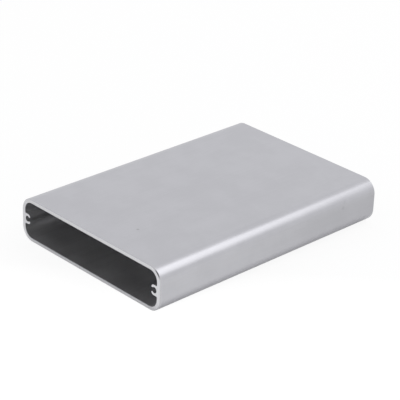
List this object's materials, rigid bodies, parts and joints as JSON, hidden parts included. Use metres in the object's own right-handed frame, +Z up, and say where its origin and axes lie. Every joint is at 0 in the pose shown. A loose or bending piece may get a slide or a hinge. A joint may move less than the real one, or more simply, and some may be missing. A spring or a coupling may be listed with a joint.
{
  "type": "extruded aluminium enclosure",
  "caption": "Flat rounded tube of extruded aluminium, open at both ends, with a screw port inside each side wall, to house a circuit board or battery pack.",
  "frame": {"origin": "middle of the base, where the enclosure rests", "axes": "+Y along the extrusion, towards the rear end; +Z up; +X across to the right-hand side wall"},
  "size_m": [0.097, 0.14, 0.0222],
  "materials": {
    "aluminium": "satin silver anodised"
  },
  "bodies": {
    "root": {"enclosure_body": "aluminium"}
  },
  "joints": []
}
